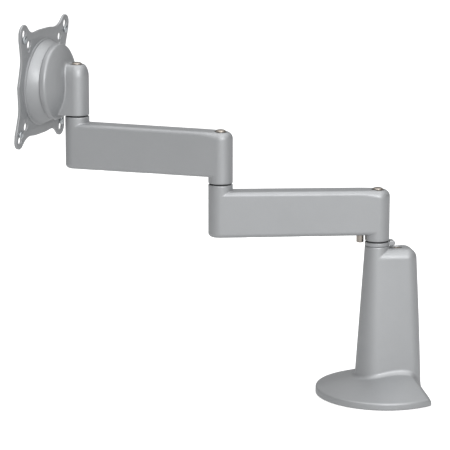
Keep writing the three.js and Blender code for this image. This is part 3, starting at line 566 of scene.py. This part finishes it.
FINE = 0.9

stands_for(casting("base_casting", base_field, (-71, -63, 0), (71, 47, 160), FINE,
                   Matrix.Identity(4)), "base_column")
stands_for(casting("lower_arm_casting", arm_field, (-13, -176, 0), (13, 13, 61), FINE, LOWER),
           "lower_arm")
stands_for(casting("upper_arm_casting", arm_field, (-13, -176, 0), (13, 13, 61), FINE, UPPER),
           "upper_arm")
stands_for(casting("head_disc_casting", head_field, (-40, -26, -6), (40, 13, 76), FINE * 0.8,
                   HEAD), "head_casting")
stands_for(casting("stop_ring_casting", ring_field, (-13, -13, -7), (13, 20, 2), FINE * 0.5,
                   UPRIGHT), "stop_ring")


def cap(name, node, matrix):
    """Low domed button on a short neck."""
    seat = ARM_TOP - 1.2
    rim = seat + 1.3
    dome = [(5.4 * math.sin(a), rim + 1.9 * math.cos(a))
            for a in (math.radians(90 * k / 9) for k in range(10))]
    profile = [*dome, (5.4, seat + 0.25), (5.15, seat), (3.0, seat), (3.0, seat - 8),
               (0, seat - 8)]
    return stands_for(turned(name, profile, matrix, 96, 0.12), node)


cap("base_pivot_button", "base_pivot_cap", LOWER)
cap("elbow_button", "elbow_cap", UPPER)
cap("head_button", "head_pivot_cap", HEAD)


def cover(name, node, matrix):
    """Cable cover: a long lid with rounded edges."""
    bm = bmesh.new()
    half, y0, y1 = 8.8, -REACH + 27.3, -27.3
    bmesh.ops.create_cube(bm, size=1)
    low = ARM_BOTTOM + 1.0
    for v in bm.verts:
        v.co = Vector((v.co.x * 2 * half, (y0 + y1) / 2 + v.co.y * (y1 - y0),
                       low + 1.2 + v.co.z * 2.4))
        v.co.z -= ARM_BOTTOM_FALL * -v.co.y / REACH
    bmesh.ops.bevel(bm, geom=bm.edges[:], offset=0.5, segments=3, affect="EDGES")
    return stands_for(from_bmesh(name, bm, matrix), node)


cover("lower_cable_cover", "lower_arm_cover", LOWER)
cover("upper_cable_cover", "upper_arm_cover", UPPER)

stands_for(turned("stop_pin", [
    (0, -1.4), (3.3, -1.4), (3.8, -0.9), (3.8, 7.0), (2.0, 7.0), (2.0, 18), (0, 18),
], LOWER @ Matrix.Translation((0, -STOP_AT, 0)), 64, 0.2), "stop_screw")


def hexagon_socket(bm, radius, top, depth, outer, sides=6):
    """A flat ring from outer to a six-sided hole, its walls and floor, at height top."""
    turns = [2 * math.pi * i / 48 for i in range(48)]

    def hex_point(a):
        half = math.pi / sides
        r = radius * math.cos(half) / math.cos(a % (2 * half) - half)
        return r * math.cos(a), r * math.sin(a)

    rim = [bm.verts.new((outer * math.cos(a), outer * math.sin(a), top)) for a in turns]
    lip = [bm.verts.new((*hex_point(a), top)) for a in turns]
    floor = [bm.verts.new((*hex_point(a), top - depth)) for a in turns]
    for a, b in ((rim, lip), (lip, floor)):
        for i in range(48):
            k = (i + 1) % 48
            bm.faces.new((a[i], a[k], b[k], b[i]))
    bm.faces.new(floor)
    return rim


def socket_screw(name, node, matrix, head, bevel, top, seat, shank, end, key, depth):
    """Cap screw with a bevelled head and a six-sided socket."""
    bm = bmesh.new()
    hexagon_socket(bm, key, top, depth, head - bevel)
    profile = [(head - bevel, top), (head - bevel * 0.3, top - bevel * 0.3), (head, top - bevel),
               (head, seat), (shank, seat), (shank, end), (0, end)]
    spin(bm, profile, 48, closed=False)
    bmesh.ops.remove_doubles(bm, verts=bm.verts[:], dist=1e-4)
    return stands_for(from_bmesh(name, bm, matrix), node)


COLUMN_SCREW = Matrix.Translation((0, COLUMN_SCREW_Y, 0))
socket_screw("column_socket_screw", "column_top_screw", COLUMN_SCREW, COLUMN_SCREW_HEAD, 0.5,
             BLOCK_TOP - 1.5, BLOCK_TOP - 4.2, 2.9, BLOCK_TOP - 16, 2.3, 1.6)

# ------------------------------------------------------------------ screen plate

EAR = 9.5
HOLE = 50.0
KEY_STEP = 6.0


def smooth_through(points, steps):
    """Catmull-Rom points through a list, ends included."""
    padded = [points[0] * 2 - points[1], *points, points[-1] * 2 - points[-2]]
    out = []
    for i in range(1, len(padded) - 2):
        a, b, c, d = padded[i - 1:i + 3]
        for k in range(steps):
            t = k / steps
            out.append(0.5 * (2 * b + (c - a) * t + (2 * a - 5 * b + 4 * c - d) * t ** 2
                              + (3 * b - a - 3 * c + d) * t ** 3))
    out.append(points[-1])
    return out


def plate_quarter():
    centre = Vector((HOLE, HOLE + KEY_STEP))
    top = smooth_through([Vector((0, 56.4)), Vector((14, 56.2)), Vector((27, 55.2)),
                          Vector((36.5, 57.6)), centre + Vector((-EAR * 0.62, EAR * 0.78))], 8)
    ear = [centre + EAR * Vector((math.cos(a), math.sin(a)))
           for a in (math.radians(128.7 * (1 - k / 24)) for k in range(25))]
    side = smooth_through([Vector((HOLE + EAR - 0.3, HOLE)), Vector((55.0, 36)),
                           Vector((53.2, 24)), Vector((57.8, 0))], 10)
    return [*top[:-1], *ear, *side]


def plate_loop():
    quarter = plate_quarter()
    back = quarter[::-1]

    def mirror(sx, sy, points):
        return [Vector((sx * p.x, sy * p.y)) for p in points]

    return [*quarter, *mirror(1, -1, back)[1:], *mirror(-1, -1, quarter)[1:],
            *mirror(-1, 1, back)[1:-1]]


def keyhole_loop(x, z):
    """Round opening with a narrow slot toward the plate's middle."""
    out = math.copysign(1, z)
    big, narrow = 4.4, 2.25
    start = math.asin(narrow / big)
    points = []
    for k in range(33):
        a = -math.pi / 2 + start + (2 * math.pi - 2 * start) * k / 32
        points.append(Vector((x + big * math.cos(a), z + out * (KEY_STEP + big * math.sin(a)))))
    for k in range(17):
        a = math.pi + math.pi * k / 16
        points.append(Vector((x + narrow * math.cos(a), z + out * narrow * math.sin(a))))
    return points


def circle_loop(radius, count=96):
    return [Vector((radius * math.cos(2 * math.pi * k / count),
                    radius * math.sin(2 * math.pi * k / count))) for k in range(count)]


def sheet_metal(name, loops, thickness, edge, matrix):
    """A flat sheet with holes and softly rounded edges, from closed outlines."""
    curve = bpy.data.curves.new(name, "CURVE")
    curve.dimensions = "2D"
    curve.fill_mode = "BOTH"
    curve.extrude = (thickness / 2 - edge)
    curve.bevel_depth = edge
    curve.bevel_resolution = 2
    curve.offset = -edge
    for loop in loops:
        spline = curve.splines.new("POLY")
        spline.points.add(len(loop) - 1)
        for point, p in zip(spline.points, loop):
            point.co = (p.x, p.y, 0, 1)
        spline.use_cyclic_u = True
    holder = bpy.data.objects.new(name, curve)
    bpy.context.scene.collection.objects.link(holder)
    bpy.context.view_layer.update()
    mesh = bpy.data.meshes.new_from_object(holder)
    bpy.data.objects.remove(holder)
    bm = bmesh.new()
    bm.from_mesh(mesh)
    bpy.data.meshes.remove(mesh)
    bmesh.ops.remove_doubles(bm, verts=bm.verts[:], dist=1e-4)
    bm.transform(matrix)
    return bm


RECESS = 31.0
WEB_BACK, WEB_FRONT = 33.6, 36.0
PUCK_CREST = 22.9


def plate_mesh():
    loops = [plate_loop(), circle_loop(RECESS)]
    for at in (50.0, 37.5):
        loops += [keyhole_loop(sx * at, sz * at) for sx in (1, -1) for sz in (1, -1)]
    middle = (PLATE_BACK + PLATE_FRONT) / 2
    flat = Matrix.Rotation(math.radians(90), 4, "X")
    bm = sheet_metal("screen_plate_sheet", loops, PLATE_FRONT - PLATE_BACK, 0.45,
                     Matrix.Translation((0, -middle, 0)) @ flat)
    wall = 2.8
    arc = [(sphere_radius(PUCK_SPHERE, d), d) for d in np.linspace(37.4, PUCK_CREST + 0.5, 16)]
    inner = [(sphere_radius(PUCK_SPHERE - wall, d), d)
             for d in np.linspace(PUCK_CREST, 39.6, 14)]
    crest = sphere_radius(PUCK_SPHERE, PUCK_CREST)
    puck = [(46.4, 39.6), (46.4, 38.4), (45.9, 37.8), *arc, (crest - 0.4, PUCK_CREST), *inner]
    web = soften([(RECESS + 2.5, 39.6), (RECESS + 2.5, WEB_BACK), (23.3, WEB_BACK),
                  (23.3, WEB_FRONT), (RECESS, WEB_FRONT), (RECESS, 39.6)], 0.5)
    for profile in (puck, web):
        part = bmesh.new()
        spin(part, profile, 144)
        part.transform(TO_SCREEN)
        turned_mesh = bpy.data.meshes.new("turned")
        part.to_mesh(turned_mesh)
        part.free()
        bm.from_mesh(turned_mesh)
        bpy.data.meshes.remove(turned_mesh)
    return bm


stands_for(from_bmesh("screen_plate_body", plate_mesh(), PLATE), "screen_plate")


def pan_screw(name, node, matrix, radius, height, shank, length, head_at):
    """Pan head with a cross recess; the shank runs toward -Z of the matrix with a thread."""
    bm = bmesh.new()
    dome = [(radius * math.sin(a), head_at + height * (0.45 + 0.55 * math.cos(a)))
            for a in (math.radians(90 * k / 8) for k in range(9))]
    profile = [*dome, (radius, head_at + 0.15), (radius - 0.15, head_at), (shank, head_at)]
    z = head_at - 0.8
    while z > head_at - length + 0.7:
        profile += [(shank, z), (shank - 0.35, z - 0.35)]
        z -= 0.7
    profile += [(shank - 0.5, head_at - length), (0, head_at - length)]
    spin(bm, profile, 40)
    screw = from_bmesh(name, bm, matrix)
    bit = bmesh.new()
    for turn in (0, math.pi / 2):
        made = bmesh.ops.create_cube(bit, size=1)["verts"]
        for v in made:
            taper = 0.55 if v.co.z < 0 else 1.0
            v.co = Vector((v.co.x * radius * 1.1 * taper, v.co.y * 0.8, head_at + height + 0.3
                           + (v.co.z - 0.5) * (height + 0.5)))
            v.co.rotate(Matrix.Rotation(turn, 3, "Z"))
    cutter = from_bmesh(name + "_bit", bit, matrix)
    cut = screw.modifiers.new("cross", "BOOLEAN")
    cut.operation = "DIFFERENCE"
    cut.object = cutter
    cut.solver = "EXACT"
    cut.use_self = True
    bpy.context.view_layer.update()
    graph = bpy.context.evaluated_depsgraph_get()
    carved = bpy.data.meshes.new_from_object(screw.evaluated_get(graph))
    old = screw.data
    screw.modifiers.clear()
    screw.data = carved
    bpy.data.meshes.remove(old)
    cutter_mesh = cutter.data
    bpy.data.objects.remove(cutter)
    bpy.data.meshes.remove(cutter_mesh)
    return stands_for(screw, node)


AWAY = Matrix.Rotation(math.radians(-90), 4, "X")      # +Z of the screw points away from the screen
for i, (sx, sz) in enumerate(((1, 1), (-1, 1), (-1, -1), (1, -1))):
    place = PLATE @ Matrix.Translation((sx * HOLE, 0, sz * HOLE)) @ AWAY
    pan_screw(f"display_screw_{i + 1}", f"plate_screw_{i + 1}", place, 4.0, 2.2, 1.9, 4.0,
              -(PLATE_BACK - 0.3))

# ------------------------------------------------------------------ tilt and roll hardware

RETAINER_BACK, RETAINER_FRONT = 36.6, 38.8


stands_for(turned("roll_retainer_ring", soften([
    (28, RETAINER_BACK), (28, RETAINER_FRONT), (15, RETAINER_FRONT), (15, RETAINER_BACK),
], 0.4), PLATE @ TO_SCREEN, 96, 0.2), "roll_retainer")

for i, degrees in enumerate((90, 210, 330)):
    a = math.radians(degrees)
    at = PLATE @ Matrix.Translation((20 * math.cos(a), 0, 20 * math.sin(a))) @ TO_SCREEN
    pan_screw(f"retainer_pan_screw_{i + 1}", f"retainer_screw_{i + 1}", at, 2.5, 1.9, 1.3, 9.5,
              RETAINER_FRONT + 0.3)

# ------------------------------------------------------------------ floor, light and camera


def floor():
    bpy.ops.mesh.primitive_plane_add(size=14, location=(0, 0, 0))
    plane = bpy.context.object
    plane.name = "studio_floor"
    material, nodes, links = shader("studio_floor")
    surface = nodes["Principled BSDF"]
    surface.inputs["Base Color"].default_value = (0.62, 0.62, 0.62, 1)
    surface.inputs["Roughness"].default_value = 0.8
    surface.inputs["Emission Color"].default_value = (1, 1, 1, 1)
    path = nodes.new("ShaderNodeLightPath")
    glow = nodes.new("ShaderNodeMapRange")
    glow.inputs["To Min"].default_value = 0.05
    glow.inputs["To Max"].default_value = 0.75
    links.new(path.outputs["Is Camera Ray"], glow.inputs["Value"])
    links.new(glow.outputs["Result"], surface.inputs["Emission Strength"])
    plane.data.materials.append(material)


def soft_light(name, place, target, size, power, height=None):
    data = bpy.data.lights.new(name, "AREA")
    data.shape = "RECTANGLE"
    data.size = size
    data.size_y = height or size
    data.energy = power
    lamp = bpy.data.objects.new(name, data)
    lamp.location = place
    lamp.rotation_euler = (Vector(target) - Vector(place)).to_track_quat("-Z", "Y").to_euler()
    bpy.context.scene.collection.objects.link(lamp)


floor()
CENTRE = (-0.05, -0.13, 0.17)
soft_light("top", (0.3, -0.1, 2.2), CENTRE, 2.6, 20)
soft_light("key", (2.3, 0.1, 1.1), CENTRE, 0.8, 15)



# Brightness of the room along an axis: from and to a direction's share, dark and light.
GLOW = (("X", 0.25, 0.98, 0.06, 0.86), ("Z", -0.1, 1.0, 0.02, 0.74))


def white_room():
    """White as seen, with a dimmer, graded light on the object itself."""
    world = bpy.data.worlds.new("studio")
    world.use_nodes = True
    nodes, links = world.node_tree.nodes, world.node_tree.links
    background = nodes["Background"]
    background.inputs["Strength"].default_value = 1.0
    place = nodes.new("ShaderNodeTexCoord")
    split = nodes.new("ShaderNodeSeparateXYZ")
    links.new(place.outputs["Generated"], split.inputs["Vector"])
    graded = nodes.new("ShaderNodeMath")
    graded.operation = "ADD"
    for i, (axis, low, high, dark, light) in enumerate(GLOW):
        ramp = nodes.new("ShaderNodeMapRange")
        ramp.interpolation_type = "SMOOTHSTEP"
        ramp.inputs["From Min"].default_value = low
        ramp.inputs["From Max"].default_value = high
        ramp.inputs["To Min"].default_value = dark
        ramp.inputs["To Max"].default_value = light
        links.new(split.outputs[axis], ramp.inputs["Value"])
        links.new(ramp.outputs["Result"], graded.inputs[i])
    path = nodes.new("ShaderNodeLightPath")
    seen = nodes.new("ShaderNodeMix")
    seen.data_type = "RGBA"
    seen.inputs["B"].default_value = (1, 1, 1, 1)
    links.new(path.outputs["Is Camera Ray"], seen.inputs["Factor"])
    links.new(graded.outputs[0], seen.inputs["A"])
    links.new(seen.outputs["Result"], background.inputs["Color"])
    bpy.context.scene.world = world


white_room()

camera_data = bpy.data.cameras.new("camera")
camera_data.lens = 192
camera_data.sensor_width = 36
camera_data.clip_end = 50
camera = bpy.data.objects.new("camera", camera_data)
camera.location = (2.38335, -0.55502, 0.6945)
heading = Vector((-0.98657, 0.16333, 0))
down = math.radians(11.88)
forward = heading * math.cos(down) + Vector((0, 0, -math.sin(down)))
camera.rotation_euler = forward.to_track_quat("-Z", "Y").to_euler()
camera.rotation_euler.rotate_axis("Z", math.radians(0.07))
bpy.context.scene.collection.objects.link(camera)
bpy.context.scene.camera = camera

bpy.context.scene.view_settings.view_transform = "Standard"
